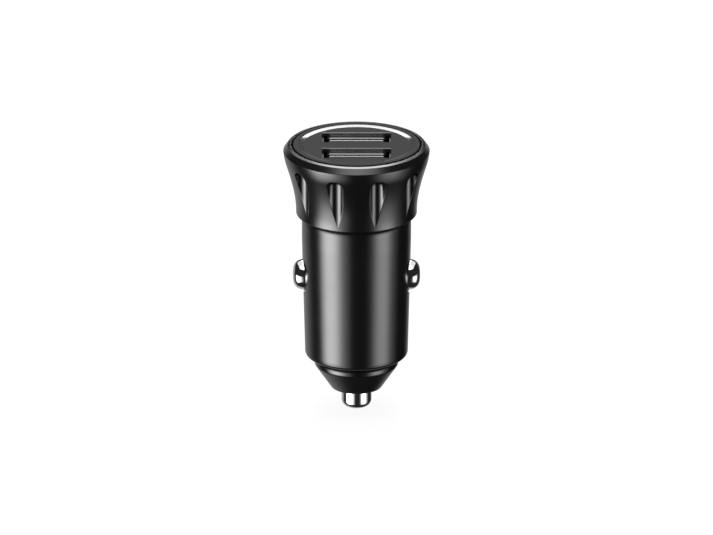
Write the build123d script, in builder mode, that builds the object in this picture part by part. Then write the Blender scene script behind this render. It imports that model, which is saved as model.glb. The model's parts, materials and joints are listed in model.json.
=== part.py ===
import os
from math import atan2, degrees, radians, tan

from build123d import *

# Car USB charger plug, upright, in millimetres.
# The origin is on the axis, on the shoulder where the head meets the barrel, and +Z is the USB face.

# Clearances
fit_gap = 0.05
parting_gap = 0.15
board_gap = 0.2
slide_gap = 0.12
stop_gap = 0.1
hole_gap = 0.1

# Barrel that goes into the 12 V socket
barrel_radius = 10.45
barrel_tip_radius = 9.85
barrel_length = 28.9
barrel_land = 5.0
barrel_wall = 0.75
barrel_floor = 2.5
barrel_edge_round = 0.7
socket_wall = 1.1

# Flared head
head_height = 13.85
head_radius = 14.0
crown_height = 12.4
rim_radius = 13.0
rim_width = 0.8
skirt_radius = 11.54
flare_corner = 3.5
flare_blend = 3.1
head_bore = 10.6
head_floor = 1.0
spigot_length = 4.0
spigot_wall = 0.9
rim_round = 0.35
crown_round = 0.15
skirt_round = 0.3

# Flutes round the head
flute_count = 10
flute_radius = 1.8
flute_floor = 0.03
flute_top = 11.1

# Dished face plate
plate_thickness = 1.5
plate_drop = 0.1
plate_edge_round = 0.12
dish_depth = 0.2
dish_run = 1.4
plate_ring = 0.5

# Openings in the face plate
slot_pitch = 8.66
slot_width = 13.15
slot_depth = 5.4
slot_edge = 0.19
lip_reach = 0.7
lip_rise = 0.2
lip_ramp = 0.6
lip_width = 10.7
lip_taper = 0.32
lip_round = 0.12

# USB sockets
shell_width = 13.1
shell_depth = 5.7
shell_wall = 0.3
shell_round = 0.6
shell_drop = 0.8
finger_width = 1.6
finger_length = 4.4
finger_slit = 0.35
finger_spacing = 5.2
leg_width = 1.4
leg_tail = 0.6
tongue_width = 11.1
tongue_thickness = 1.84
tongue_gap = 0.38
tongue_drop = 0.3
tongue_edge = 0.22
tongue_end_run = 0.55
tongue_end_drop = 0.42
tongue_base_height = 3.0
pin_width = 1.0
pin_thickness = 0.3
pin_proud = 0.1
pin_tip_drop = 0.9
pin_inner = 1.0
pin_outer = 3.5
pin_tail_width = 0.5
pin_tail = 0.8
pin_gap = 0.02

# Boards
board_thickness = 1.2
main_board_width = 15.2
tab_width = 1.8

# Side contacts
dome_radius = 3.13
dome_rise = 1.9
dome_depth = 12.7
contact_reach = 12.2
leaf_thickness = 0.3
leaf_width = 4.0
leaf_bend = 1.5
leaf_root = 7.5
root_gap = 0.2
root_proud = 0.3
flange_radius = 3.7
flange_gap = 0.2
slot_side_gap = 0.12
slot_top_gap = 0.15
slot_bottom_gap = 0.65

# Nose and centre contact
collar_radius = 8.05
collar_length = 1.9
nose_length = 6.6
cone_tip_radius = 4.9
nose_bore = 7.3
nose_spigot = 3.5
bead_height = 0.2
nose_edge_round = 0.35
cone_edge_round = 0.2
contact_radius = 2.88
contact_length = 4.15
contact_round = 1.4
contact_shoulder = 2.1
contact_flange = 3.85
contact_flange_height = 1.0
cavity_gap = 0.35
boss_radius = 2.2
boss_height = 0.8

# Coil behind the centre contact
wire_radius = 0.225
wire_sides = 6
coil_radius = 2.9
coil_turns = 5
coil_gap = 0.02
terminal_radius = 5.5
terminal_thickness = 0.4
terminal_tab_width = 3.0
terminal_tab_height = 2.1
terminal_tab_offset = -3.4

# Parts on the main board
inductor_size = 7.0
inductor_height = 4.0
inductor_flange = 0.8
inductor_post = 2.0
inductor_round = 1.4
inductor_depth = 9.6
winding_inset = 0.35
winding_gap = 0.05
capacitor_radius = 2.5
capacitor_length = 5.0
capacitor_groove = 0.3
capacitor_groove_height = 1.1
capacitor_edge = 0.3
capacitor_rise = 2.95
capacitor_offset = 2.9
lead_width = 0.5
lead_spacing = 2.0
lead_drop = 0.7
lead_proud = 0.6
chip_width = 4.9
chip_length = 3.9
chip_height = 1.5
chip_standoff = 0.12
chip_depth = 6.4
chip_leg_pitch = 1.27
chip_leg_width = 0.42
chip_leg_thickness = 0.2
chip_leg_reach = 1.05
chip_leg_foot = 0.55
chip_leg_exit = 0.6
chip_leg_rows = 4
diode_width = 4.3
diode_length = 2.6
diode_height = 2.2
diode_tab = 0.2
diode_tab_length = 1.2
diode_tab_inset = 0.5
fuse_width = 3.2
fuse_length = 1.6
fuse_height = 0.9
fuse_edge = 0.12
fuse_offset = -4.6
fuse_rise = 4.95
resistor_size = (1.6, 0.8, 0.45)
resistor_pitch = 1.6
resistor_offset = 5.3
resistor_depth = 6.4
resistor_rows = 3
ceramic_size = (1.25, 2.0, 0.8)
ceramic_pitch = 2.6
ceramic_offset = 5.4
ceramic_depth = 12.6
ceramic_rows = 2

# Heights and radii that follow from the sizes above
rim_bore = rim_radius - rim_width
plate_radius = rim_bore - parting_gap
plate_top = head_height - plate_drop
face_height = plate_top - dish_depth
plate_seat = face_height - plate_thickness
dish_outer = plate_radius - plate_ring
dish_inner = dish_outer - dish_run
socket_bore = barrel_radius - socket_wall
spigot_radius = socket_bore - fit_gap
spigot_bore = spigot_radius - spigot_wall
barrel_bore = barrel_tip_radius - barrel_wall
barrel_end = -barrel_length
floor_top = barrel_end + barrel_floor
board_bottom = head_floor
board_top = board_bottom + board_thickness
shell_top = face_height - shell_drop
tongue_top = face_height - tongue_drop
tongue_back = slot_depth / 2 - tongue_gap
tongue_front = tongue_back - tongue_thickness
pin_face = tongue_front - pin_proud
slot_sides = (("front", -slot_pitch / 2), ("rear", slot_pitch / 2))
pin_places = (-pin_outer, -pin_inner, pin_inner, pin_outer)
finger_places = (-finger_spacing / 2, finger_spacing / 2)
leg_x = (shell_width - shell_wall) / 2
dome_height = -dome_depth
dome_base = contact_reach - dome_rise
flange_face = ((barrel_bore - flange_gap) ** 2 - flange_radius**2) ** 0.5
nose_end = barrel_end - nose_length
nose_top = barrel_end + nose_spigot
nose_spigot_radius = nose_bore - fit_gap
shoulder_height = nose_end + contact_shoulder
flange_bottom = shoulder_height + stop_gap
flange_top = flange_bottom + contact_flange_height
contact_end = nose_end - contact_length
cavity_radius = contact_flange + cavity_gap
terminal_top = nose_top + terminal_thickness
main_board_end = terminal_top + stop_gap
board_face = board_thickness / 2
tab_spacing = main_board_width - tab_width
can_bottom = main_board_end + capacitor_rise
lead_height = can_bottom - lead_drop
capacitor_axis = board_face + capacitor_radius + fit_gap
leg_toe = chip_length / 2 + chip_leg_reach
diode_depth = (chip_depth + leg_toe - can_bottom - capacitor_length) / 2

os.makedirs("parts", exist_ok=True)


def keep(part, name):
    """Label a finished piece and write it under that name."""
    part.label = name
    export_step(part, f"parts/{name}.step")


def half_section(*corners, plane=Plane.XZ):
    """Half section from corners given as (radius, height, rounding)."""
    with BuildSketch(plane) as section:
        with BuildLine():
            FilletPolyline(
                [(radius, height) for radius, height, _ in corners],
                radius=[rounding for _, _, rounding in corners],
                close=True,
            )
        make_face()
    return section.sketch


def upright_plane(x, y, z):
    """Plane through a point with local X along X and local Y up."""
    return Plane(origin=(x, y, z), x_dir=(1, 0, 0), z_dir=(0, -1, 0))


def on_board(side, across, depth):
    """Plane on the right (+1) or left (-1) face of the main board, local Z outwards."""
    return Plane(origin=(side * board_face, across, -depth), x_dir=(0, 1, 0), z_dir=(side, 0, 0))


# Barrel: tapered tube with a floor, an upper seat for the head and a slot on each side
with BuildPart() as barrel:
    revolve(
        half_section(
            (socket_bore, 0, 0),
            (barrel_radius, 0, 0),
            (barrel_radius, -barrel_land, 0),
            (barrel_tip_radius, barrel_end, barrel_edge_round),
            (nose_bore, barrel_end, 0),
            (nose_bore, floor_top, 0),
            (barrel_bore, floor_top, 0),
            (barrel_bore, -spigot_length - fit_gap, 0),
            (socket_bore, -spigot_length - fit_gap, 0),
        ),
        axis=Axis.Z,
    )
    slot_across = 2 * (dome_radius + slot_side_gap)
    slot_along = 2 * dome_radius + slot_top_gap + slot_bottom_gap
    slot_middle = dome_height + (slot_top_gap - slot_bottom_gap) / 2
    with BuildSketch(Plane.YZ):
        with Locations((0, slot_middle)):
            SlotOverall(slot_along, slot_across, rotation=90)
    extrude(amount=barrel_radius, both=True, mode=Mode.SUBTRACT)
keep(barrel.part, "barrel")

# Ball-nosed cutter for one flute
with BuildPart() as flute_cutter:
    with BuildSketch(Plane.XZ):
        with BuildLine():
            Polyline((0, flute_top), (0, 0), (flute_radius, 0), (flute_radius, flute_top - flute_radius))
            TangentArc((flute_radius, flute_top - flute_radius), (0, flute_top), tangent=(0, 1))
        make_face()
    revolve(axis=Axis.Z)

# Head: flared cup with a chamfered rim, ledges for the plate and the board, and a spigot below
flare_turn = degrees(atan2(head_radius - skirt_radius, crown_height - flare_corner))
flare_round = flare_blend / tan(radians(flare_turn / 2))
with BuildPart() as head_collar:
    revolve(
        half_section(
            (spigot_bore, -spigot_length, 0),
            (spigot_radius, -spigot_length, 0),
            (spigot_radius, 0, 0),
            (skirt_radius, 0, skirt_round),
            (skirt_radius, flare_corner, flare_round),
            (head_radius, crown_height, crown_round),
            (rim_radius, head_height, rim_round),
            (rim_bore, head_height, 0),
            (rim_bore, plate_seat, 0),
            (head_bore, plate_seat, 0),
            (head_bore, head_floor, 0),
            (spigot_bore, head_floor, 0),
        ),
        axis=Axis.Z,
    )
    flute_axis = skirt_radius + flute_floor + flute_radius
    flute_step = 360 / flute_count
    with PolarLocations(flute_axis, flute_count, start_angle=-90 + flute_step / 2):
        add(flute_cutter.part, mode=Mode.SUBTRACT)
keep(head_collar.part, "head_collar")

# Raised lead-in lip on the near edge of one opening, with slanted ends
with BuildPart() as lip:
    lip_edge = -slot_depth / 2 + lip_reach
    lip_foot = -slot_depth / 2 - lip_ramp
    lip_bottom = shell_top + hole_gap
    with BuildSketch(Plane.YZ):
        with BuildLine():
            FilletPolyline(
                (lip_foot, face_height),
                (lip_edge, face_height + lip_rise),
                (lip_edge, lip_bottom),
                (lip_foot, lip_bottom),
                radius=(0, lip_round, 0, 0),
                close=True,
            )
        make_face()
    extrude(amount=lip_width / 2, both=True)
    with BuildSketch(Plane.XY.offset(lip_bottom)):
        with BuildLine():
            Polyline(
                (-lip_width / 2, lip_foot),
                (lip_width / 2, lip_foot),
                (lip_width / 2, -slot_depth / 2),
                (lip_width / 2 - lip_taper, lip_edge),
                (-lip_width / 2 + lip_taper, lip_edge),
                (-lip_width / 2, -slot_depth / 2),
                close=True,
            )
        make_face()
    extrude(amount=plate_thickness, mode=Mode.INTERSECT)

# Face plate: dished disc with two openings, rebated below for the socket shells
with BuildPart() as face_plate:
    with BuildSketch(Plane.XZ):
        with BuildLine():
            FilletPolyline(
                (0, face_height),
                (0, plate_seat),
                (plate_radius, plate_seat),
                (plate_radius, plate_top),
                (dish_outer, plate_top),
                radius=(0, 0, plate_edge_round),
            )
            TangentArc((dish_inner, face_height), (dish_outer, plate_top), tangent=(1, 0))
            Line((dish_inner, face_height), (0, face_height))
        make_face()
    revolve(axis=Axis.Z)
    openings = GridLocations(0, slot_pitch, 1, 2)
    with BuildSketch(Plane.XY.offset(face_height)):
        with openings:
            Rectangle(slot_width, slot_depth)
    extrude(amount=-plate_thickness, mode=Mode.SUBTRACT)
    for _, slot_y in slot_sides:
        back_edge = face_plate.edges().sort_by_distance((0, slot_y + slot_depth / 2, face_height))[0]
        chamfer(back_edge, slot_edge)
    with BuildSketch(Plane.XY.offset(plate_seat)):
        with openings:
            Rectangle(shell_width + 2 * hole_gap, shell_depth + 2 * hole_gap)
    extrude(amount=shell_top + hole_gap - plate_seat, mode=Mode.SUBTRACT)
    with openings:
        add(lip.part)
keep(face_plate.part, "face_plate")

# Port board: round board with slots for the upright board, the contacts and the sockets
with BuildPart() as port_board:
    with BuildSketch(Plane.XY.offset(board_bottom)):
        Circle(head_bore - board_gap)
        with GridLocations(0, tab_spacing, 1, 2):
            Rectangle(board_thickness + 2 * fit_gap, tab_width + 2 * fit_gap, mode=Mode.SUBTRACT)
        with GridLocations(2 * leaf_root, 0, 2, 1):
            Rectangle(leaf_thickness + 2 * root_gap, leaf_width + 2 * root_gap, mode=Mode.SUBTRACT)
        for _, slot_y in slot_sides:
            with Locations(*[(pin_x, slot_y + pin_face + pin_thickness / 2) for pin_x in pin_places]):
                Circle(pin_tail_width / 2 + hole_gap, mode=Mode.SUBTRACT)
            with Locations((-leg_x, slot_y), (leg_x, slot_y)):
                Rectangle(shell_wall + 2 * hole_gap, leg_width + 2 * hole_gap, mode=Mode.SUBTRACT)
    extrude(amount=board_thickness)
keep(port_board.part, "port_board")

# USB sockets, one behind the other, each a folded shell, a moulded tongue and four pins
for slot_name, slot_y in slot_sides:
    middle = Plane.XY.offset(board_top).move(Location((0, slot_y, 0)))

    with BuildPart() as usb_shell:
        with BuildSketch(middle):
            RectangleRounded(shell_width, shell_depth, shell_round)
            RectangleRounded(
                shell_width - 2 * shell_wall,
                shell_depth - 2 * shell_wall,
                shell_round - shell_wall,
                mode=Mode.SUBTRACT,
            )
        extrude(amount=shell_top - board_top)
        finger_top = shell_top - finger_length / 2
        with BuildSketch(Plane.XZ.offset(-slot_y)):
            for finger_x in finger_places:
                with Locations((finger_x, finger_top - finger_length / 2)):
                    Rectangle(finger_width + 2 * finger_slit, finger_length)
                    with Locations((0, -finger_slit)):
                        Rectangle(finger_width, finger_length, mode=Mode.SUBTRACT)
        extrude(amount=shell_depth, both=True, mode=Mode.SUBTRACT)
        with BuildSketch(middle):
            with Locations((-leg_x, 0), (leg_x, 0)):
                Rectangle(shell_wall, leg_width)
        extrude(amount=-board_thickness - leg_tail)
    keep(usb_shell.part, f"usb_shell_{slot_name}")

    with BuildPart() as usb_pins:
        with BuildSketch(middle):
            with Locations(*[(pin_x, pin_face + pin_thickness / 2) for pin_x in pin_places]):
                Rectangle(pin_width, pin_thickness)
        extrude(amount=tongue_top - pin_tip_drop - board_top)
        with BuildSketch(middle):
            with Locations(*[(pin_x, pin_face + pin_thickness / 2) for pin_x in pin_places]):
                Rectangle(pin_tail_width, pin_thickness)
        extrude(amount=-board_thickness - pin_tail)
    keep(usb_pins.part, f"usb_pins_{slot_name}")

    with BuildPart() as usb_tongue:
        with BuildSketch(middle):
            RectangleRounded(
                shell_width - 2 * shell_wall - 2 * fit_gap,
                shell_depth - 2 * shell_wall - 2 * fit_gap,
                shell_round - shell_wall,
            )
        extrude(amount=tongue_base_height)
        with BuildSketch(Plane.XZ.offset(-slot_y - tongue_front)):
            with BuildLine():
                Polyline(
                    (-tongue_width / 2, board_top),
                    (tongue_width / 2, board_top),
                    (tongue_width / 2, tongue_top - tongue_end_drop),
                    (tongue_width / 2 - tongue_end_run, tongue_top),
                    (-tongue_width / 2 + tongue_end_run, tongue_top),
                    (-tongue_width / 2, tongue_top - tongue_end_drop),
                    close=True,
                )
            make_face()
        extrude(amount=-tongue_thickness)
        tip_edges = usb_tongue.faces().sort_by(Axis.Z)[-1].edges().filter_by(Axis.X)
        chamfer(tip_edges, tongue_edge)
        with BuildSketch(middle):
            with Locations(*[(pin_x, pin_face + pin_thickness / 2) for pin_x in pin_places]):
                Rectangle(pin_width + 2 * pin_gap, pin_thickness + 2 * pin_gap)
        extrude(amount=tongue_top - pin_tip_drop + pin_gap - board_top, mode=Mode.SUBTRACT)
    keep(usb_tongue.part, f"usb_tongue_{slot_name}")

# Main board: upright board hung from the port board by two tabs
with BuildPart() as main_board:
    with BuildSketch(Plane.YZ):
        with BuildLine():
            Polyline(
                (-main_board_width / 2, board_bottom),
                (main_board_width / 2, board_bottom),
                (main_board_width / 2, main_board_end),
                (-main_board_width / 2, main_board_end),
                close=True,
            )
        make_face()
        with Locations((0, board_bottom)):
            with GridLocations(tab_spacing, 0, 2, 1):
                Rectangle(tab_width, 2 * board_thickness)
        with Locations((-capacitor_offset, lead_height), (capacitor_offset, lead_height)):
            with GridLocations(lead_spacing, 0, 2, 1):
                Rectangle(lead_width + 2 * hole_gap, lead_width + 2 * hole_gap, mode=Mode.SUBTRACT)
    extrude(amount=board_thickness / 2, both=True)
keep(main_board.part, "main_board")

# Right side contact: plated leaf with a stamped dome that stands out through the barrel
with BuildPart() as side_contact_right:
    leaf_end = dome_height + dome_radius - leaf_thickness / 2
    with BuildSketch(Plane.XZ):
        with BuildLine():
            Polyline(
                (leaf_root + leaf_thickness / 2, board_top + root_proud),
                (leaf_root + leaf_thickness / 2, -leaf_bend),
                (flange_face, dome_height + flange_radius),
                (flange_face, leaf_end),
                (flange_face - leaf_thickness, leaf_end),
                (flange_face - leaf_thickness, dome_height + flange_radius),
                (leaf_root - leaf_thickness / 2, -leaf_bend),
                (leaf_root - leaf_thickness / 2, board_top + root_proud),
                close=True,
            )
        make_face()
    extrude(amount=leaf_width / 2, both=True)
    with BuildSketch(upright_plane(0, 0, dome_height)):
        with BuildLine():
            Polyline(
                (contact_reach - leaf_thickness, 0),
                (contact_reach, 0),
            )
            TangentArc((contact_reach, 0), (dome_base, dome_radius), tangent=(0, 1))
            Polyline(
                (dome_base, dome_radius),
                (flange_face, dome_radius),
                (flange_face, flange_radius),
                (flange_face - leaf_thickness, flange_radius),
                (flange_face - leaf_thickness, dome_radius - leaf_thickness),
                (dome_base, dome_radius - leaf_thickness),
            )
            TangentArc(
                (contact_reach - leaf_thickness, 0),
                (dome_base, dome_radius - leaf_thickness),
                tangent=(0, 1),
            )
        make_face()
    revolve(axis=Axis((0, 0, dome_height), (1, 0, 0)))
keep(side_contact_right.part, "side_contact_right")

# Left side contact: the mirror image
with BuildPart() as side_contact_left:
    mirror(side_contact_right.part, about=Plane.YZ)
keep(side_contact_left.part, "side_contact_left")

# Nose cap: collar and cone outside, a snap bead above the barrel floor, and a bore for the contact
with BuildPart() as nose_cap:
    bead_radius = nose_spigot_radius + bead_height
    contact_bore = contact_radius + slide_gap
    revolve(
        half_section(
            (collar_radius, barrel_end, 0),
            (collar_radius, barrel_end - collar_length, nose_edge_round),
            (cone_tip_radius, nose_end, cone_edge_round),
            (contact_bore, nose_end, 0),
            (contact_bore, shoulder_height, 0),
            (cavity_radius, shoulder_height, 0),
            (cavity_radius, nose_top, 0),
            (nose_spigot_radius - bead_height, nose_top, 0),
            (bead_radius, floor_top + fit_gap + bead_height, 0),
            (nose_spigot_radius, floor_top + fit_gap, 0),
            (nose_spigot_radius, barrel_end, 0),
        ),
        axis=Axis.Z,
    )
keep(nose_cap.part, "nose_cap")

# Centre contact: plated plunger with a flange inside the nose and a boss that centres the coil
with BuildPart() as centre_contact:
    revolve(
        half_section(
            (0, contact_end, 0),
            (contact_radius, contact_end, contact_round),
            (contact_radius, flange_bottom, 0),
            (contact_flange, flange_bottom, 0),
            (contact_flange, flange_top, 0),
            (boss_radius, flange_top, 0),
            (boss_radius, flange_top + boss_height, 0),
            (0, flange_top + boss_height, 0),
        ),
        axis=Axis.Z,
    )
keep(centre_contact.part, "centre_contact")

# Coil between the plunger and the terminal
with BuildPart() as centre_spring:
    coil_start = flange_top + wire_radius + coil_gap
    coil_height = nose_top - wire_radius - coil_gap - coil_start
    with BuildLine() as coil_path:
        Helix(coil_height / coil_turns, coil_height, coil_radius, center=(0, 0, coil_start))
    with BuildSketch(Plane(origin=coil_path.line @ 0, z_dir=coil_path.line % 0)):
        RegularPolygon(wire_radius, wire_sides)
    sweep(path=coil_path.line, is_frenet=True)
keep(centre_spring.part, "centre_spring")

# Terminal: plate on the nose that the coil bears on, with a tab up the main board
with BuildPart() as spring_terminal:
    with BuildSketch(Plane.XY.offset(nose_top)):
        Circle(terminal_radius)
    extrude(amount=terminal_thickness)
    with BuildSketch(Plane.XY.offset(nose_top)):
        Circle(boss_radius)
    extrude(amount=-boss_height)
    with BuildSketch(Plane.XY.offset(nose_top)):
        with Locations((board_face + terminal_thickness / 2, terminal_tab_offset)):
            Rectangle(terminal_thickness, terminal_tab_width)
    extrude(amount=terminal_tab_height)
keep(spring_terminal.part, "spring_terminal")

# Inductor: drum core with a winding between its flanges, on the right face
inductor_plane = on_board(1, 0, inductor_depth)
with BuildPart() as inductor_core:
    with BuildSketch(inductor_plane):
        RectangleRounded(inductor_size, inductor_size, inductor_round)
    extrude(amount=inductor_flange)
    with BuildSketch(inductor_plane):
        Circle(inductor_post)
    extrude(amount=inductor_height)
    with BuildSketch(inductor_plane.offset(inductor_height - inductor_flange)):
        Circle(inductor_size / 2)
    extrude(amount=inductor_flange)
keep(inductor_core.part, "inductor_core")

with BuildPart() as inductor_winding:
    with BuildSketch(inductor_plane.offset(inductor_flange + winding_gap)):
        Circle(inductor_size / 2 - winding_inset)
        Circle(inductor_post + winding_gap, mode=Mode.SUBTRACT)
    extrude(amount=inductor_height - 2 * inductor_flange - 2 * winding_gap)
keep(inductor_winding.part, "inductor_winding")

# Capacitors: crimped cans laid on both faces, with two bent flat leads through the board
for capacitor_name, side in (("output_capacitor", 1), ("input_capacitor", -1)):
    can_y = side * capacitor_offset
    can_plane = upright_plane(side * capacitor_axis, can_y, can_bottom)
    with BuildPart() as capacitor:
        revolve(
            half_section(
                (0, 0, 0),
                (capacitor_radius - capacitor_edge, 0, 0),
                (capacitor_radius, capacitor_edge, 0),
                (capacitor_radius, capacitor_groove_height, 0),
                (capacitor_radius - capacitor_groove, capacitor_groove_height + capacitor_groove, 0),
                (capacitor_radius, capacitor_groove_height + 2 * capacitor_groove, 0),
                (capacitor_radius, capacitor_length - capacitor_edge, 0),
                (capacitor_radius - capacitor_edge, capacitor_length, 0),
                (0, capacitor_length, 0),
                plane=can_plane,
            ),
            axis=Axis(can_plane.origin, (0, 0, 1)),
        )
        with BuildSketch(Plane.XZ.offset(-can_y)):
            with BuildLine():
                Polyline(
                    (side * (capacitor_axis - lead_width / 2), can_bottom),
                    (side * (capacitor_axis + lead_width / 2), can_bottom),
                    (side * (capacitor_axis + lead_width / 2), lead_height - lead_width / 2),
                    (-side * (board_face + lead_proud), lead_height - lead_width / 2),
                    (-side * (board_face + lead_proud), lead_height + lead_width / 2),
                    (side * (capacitor_axis - lead_width / 2), lead_height + lead_width / 2),
                    close=True,
                )
            make_face()
        extrude(amount=(lead_spacing + lead_width) / 2, both=True)
        with BuildSketch(Plane.XY.offset(can_bottom)):
            with Locations((0, can_y)):
                Rectangle(4 * capacitor_axis, lead_spacing - lead_width)
        extrude(amount=-lead_drop - lead_width, mode=Mode.SUBTRACT)
    keep(capacitor.part, capacitor_name)

# Converter chip and its gull-wing legs, on the left face
chip_plane = on_board(-1, 0, chip_depth)
leg_knee = leg_toe - chip_leg_foot
with BuildPart() as converter_chip:
    with BuildSketch(chip_plane.offset(chip_standoff)):
        Rectangle(chip_width, chip_length)
    extrude(amount=chip_height)
    chamfer(converter_chip.faces().sort_by(Axis.X)[0].edges(), chip_standoff)
keep(converter_chip.part, "converter_chip")

with BuildPart() as chip_legs:
    for leg_index in range(chip_leg_rows):
        leg_along = (leg_index - (chip_leg_rows - 1) / 2) * chip_leg_pitch
        leg_origin = chip_plane.origin + chip_plane.x_dir * leg_along
        leg_plane = Plane(leg_origin, x_dir=chip_plane.y_dir, z_dir=chip_plane.x_dir)
        with BuildSketch(leg_plane):
            with BuildLine():
                Polyline(
                    (chip_length / 2, chip_leg_exit),
                    (leg_knee, chip_leg_exit),
                    (leg_knee, chip_leg_thickness),
                    (leg_toe, chip_leg_thickness),
                    (leg_toe, 0),
                    (leg_knee - chip_leg_thickness, 0),
                    (leg_knee - chip_leg_thickness, chip_leg_exit - chip_leg_thickness),
                    (chip_length / 2, chip_leg_exit - chip_leg_thickness),
                    close=True,
                )
            make_face()
            mirror(about=Plane.YZ)
        extrude(amount=chip_leg_width / 2, both=True)
keep(chip_legs.part, "chip_legs")

# Rectifier diode: moulded block with a tab bent under each end, on the left face
diode_plane = on_board(-1, 0, diode_depth)
with BuildPart() as rectifier_diode:
    with BuildSketch(diode_plane.offset(diode_tab)):
        Rectangle(diode_width, diode_length)
    extrude(amount=diode_height)
    chamfer(rectifier_diode.faces().sort_by(Axis.X)[0].edges(), diode_tab)
    with BuildSketch(diode_plane):
        with GridLocations(diode_width, 0, 2, 1):
            Rectangle(diode_tab_length, diode_length - 2 * diode_tab_inset)
    extrude(amount=diode_tab)
keep(rectifier_diode.part, "rectifier_diode")

# Input fuse: small block with end caps, beside the terminal tab
with BuildPart() as input_fuse:
    with BuildSketch(on_board(1, fuse_offset, -main_board_end - fuse_rise)):
        Rectangle(fuse_length, fuse_width)
    extrude(amount=fuse_height)
    chamfer(input_fuse.edges().filter_by(Axis.X), fuse_edge)
keep(input_fuse.part, "input_fuse")

# Chip resistors and ceramic capacitors: two columns of each, along both edges of the left face
with BuildPart(on_board(-1, 0, resistor_depth)) as chip_resistors:
    with GridLocations(2 * resistor_offset, resistor_pitch, 2, resistor_rows):
        Box(*resistor_size, align=(Align.CENTER, Align.CENTER, Align.MIN))
keep(chip_resistors.part, "chip_resistors")

with BuildPart(on_board(-1, 0, ceramic_depth)) as chip_capacitors:
    with GridLocations(2 * ceramic_offset, ceramic_pitch, 2, ceramic_rows):
        Box(*ceramic_size, align=(Align.CENTER, Align.CENTER, Align.MIN))
keep(chip_capacitors.part, "chip_capacitors")
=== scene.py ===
import json
from math import cos, pi, radians, sin, tan

import bmesh
import bpy
import numpy as np
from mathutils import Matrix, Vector


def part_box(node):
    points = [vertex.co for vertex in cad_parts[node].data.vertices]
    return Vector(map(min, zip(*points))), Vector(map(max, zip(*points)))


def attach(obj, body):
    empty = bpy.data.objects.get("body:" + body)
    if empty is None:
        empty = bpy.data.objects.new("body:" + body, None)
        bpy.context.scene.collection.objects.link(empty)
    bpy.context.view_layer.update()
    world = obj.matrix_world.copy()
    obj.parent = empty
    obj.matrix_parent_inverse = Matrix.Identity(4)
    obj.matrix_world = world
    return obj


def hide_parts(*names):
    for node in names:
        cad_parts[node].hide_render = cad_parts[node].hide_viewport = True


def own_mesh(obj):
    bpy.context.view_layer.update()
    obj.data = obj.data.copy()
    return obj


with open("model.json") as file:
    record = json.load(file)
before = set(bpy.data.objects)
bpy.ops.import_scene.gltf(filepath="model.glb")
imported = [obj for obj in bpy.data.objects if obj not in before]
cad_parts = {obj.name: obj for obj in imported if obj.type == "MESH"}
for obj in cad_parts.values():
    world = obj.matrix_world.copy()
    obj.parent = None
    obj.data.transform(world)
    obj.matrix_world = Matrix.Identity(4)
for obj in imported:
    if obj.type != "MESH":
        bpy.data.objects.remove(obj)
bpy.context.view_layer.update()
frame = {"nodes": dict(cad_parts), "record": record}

# Looks of a car USB charger plug: glossy black mouldings, plated contacts and a matte dished face.
# Sizes are in millimetres until a mesh is made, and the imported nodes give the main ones.

MM = 0.001

# Small gaps
FIT_GAP = 0.05
STOP_GAP = 0.1
SINK = 0.03

# Meshes: points this close are merged, a row of points holds a rounded edge from this far, and two heights
# or widths this close count as equal
MERGE_DISTANCE = 0.002
EDGE_SUPPORT = 0.05
TINY = 1e-6

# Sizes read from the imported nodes


def node_box(node):
    """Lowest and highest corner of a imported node, in millimetres."""
    low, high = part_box(node)
    return np.array(low) / MM, np.array(high) / MM


barrel_low, barrel_high = node_box("barrel")
head_high = node_box("head_collar")[1]
plate_low, plate_high = node_box("face_plate")
nose_low, nose_high = node_box("nose_cap")
plunger_low, plunger_high = node_box("centre_contact")
contact_high = node_box("side_contact_right")[1]
coil_low, coil_high = node_box("centre_spring")

BARREL_RADIUS = barrel_high[1]
BARREL_END = barrel_low[2]
HEAD_TOP = head_high[2]
PLATE_RADIUS = plate_high[0]
PLATE_SEAT = plate_low[2]
NOSE_END = nose_low[2]
NOSE_TOP = nose_high[2]
PLUNGER_END = plunger_low[2]
PLUNGER_TOP = plunger_high[2]
PLUNGER_FLANGE = plunger_high[0]
CONTACT_REACH = contact_high[0]
COIL_LOW = coil_low[2]
COIL_HIGH = coil_high[2]

# Barrel
BARREL_TIP_RADIUS = 9.85
BARREL_LAND = 5.0
BARREL_BORE = 9.1
BARREL_FLOOR = 2.5
BARREL_EDGE = 0.7
BARREL_TOP_FALL = 1.5
BARREL_TOP_INSET = 0.65
SLOT_HALF_WIDTH = 3.25
SLOT_STRAIGHT = 0.28
SLOT_MIDDLE = -12.95

# Head
SKIRT_RADIUS = 11.54
SKIRT_ROUND = 0.2
SPIGOT_RADIUS = 9.3
SPIGOT_BORE = 8.4
SPIGOT_END = -4.0
FLARE_START = 0.4
FLARE_SLOPE = 0.32
TURN_HEIGHT = 9.9
TURN_RADIUS = 13.43
CROWN_HEIGHT = 12.55
CROWN_SLOPE = 0.07
CROWN_ROUND = 0.15
RIM_TOP = HEAD_TOP - 0.1
RIM_RADIUS = 13.15
RIM_BEVEL = 0.5
RIM_BEVEL_FALL = 0.153
RIM_ROUND = 0.05
RIM_BORE = 12.45
RIM_BORE_ROUND = 0.05
HEAD_BORE = 10.6
HEAD_FLOOR = 1.0
FLUTES = 10
FLUTE_RADIUS = 1.6
FLUTE_AXIS = 13.145
FLUTE_BALL = 9.3
FLUTE_TOP = 10.8
FLUTE_EDGE = 0.08

# Rows of the head's mesh: heights where their spacing changes, with the closest rows up to the flutes' top,
# and a small step off an edge; then the most of a groove, and of the land beside it, that an edge takes
WALL_FOOT = 0.8
BALL_ROWS = 8.6
CROWN_START = CROWN_HEIGHT - 0.3
ROW_GAP = 0.01
GROOVE_SHARE = 0.4
LAND_SHARE = 0.3

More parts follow.
